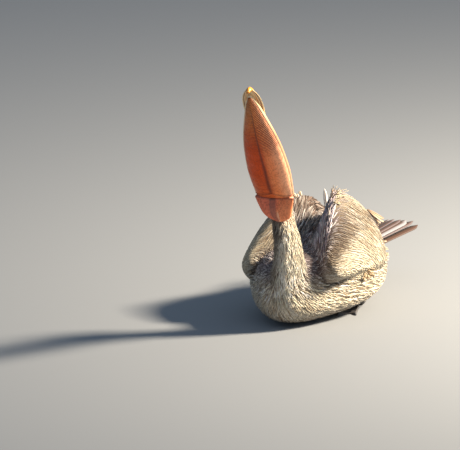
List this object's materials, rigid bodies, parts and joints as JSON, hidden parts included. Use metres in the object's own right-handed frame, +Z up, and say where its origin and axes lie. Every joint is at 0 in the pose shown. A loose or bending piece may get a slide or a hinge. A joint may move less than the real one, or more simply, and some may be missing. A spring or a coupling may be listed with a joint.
{
  "type": "pelican",
  "caption": "Large white pelican at rest on its belly, bill raised and pouch stretched, wings folded in high domes, short tail fanned, webbed feet tucked under.",
  "frame": {"origin": "bottom centre of the bird's box, on the surface it rests on", "axes": "-Y is the way the bird faces, +X its own left, +Z up"},
  "size_m": [0.344, 1.1072, 0.6788],
  "materials": {
    "plumage": "buff-white feathers with dark shaft streaks",
    "neck_plumage": "short shaggy straw-white feathers",
    "flight_feathers": "pale vanes with dark brown shafts",
    "leg_skin": "scaled dark grey skin",
    "eye": "glossy pale yellow iris with a dark pupil",
    "bill_horn": "satin horn, grey-yellow with orange edges",
    "nail": "glossy orange horn",
    "pouch_skin": "moist, finely wrinkled orange-red skin"
  },
  "bodies": {
    "root": {"head": "plumage", "neck_upper": "neck_plumage", "neck_lower": "neck_plumage", "trunk": "plumage", "wing_left": "plumage", "wing_right": "plumage", "scapulars_left": "plumage", "scapulars_right": "plumage", "flight_feathers_left": "flight_feathers", "flight_feathers_right": "flight_feathers", "tail": "flight_feathers", "leg_left": "leg_skin", "leg_right": "leg_skin", "foot_left": "leg_skin", "foot_right": "leg_skin", "eye_left": "eye", "eye_right": "eye", "bill_upper": "bill_horn", "bill_lower": "bill_horn", "bill_nail": "nail", "pouch": "pouch_skin", "throat": "pouch_skin"}
  },
  "joints": []
}
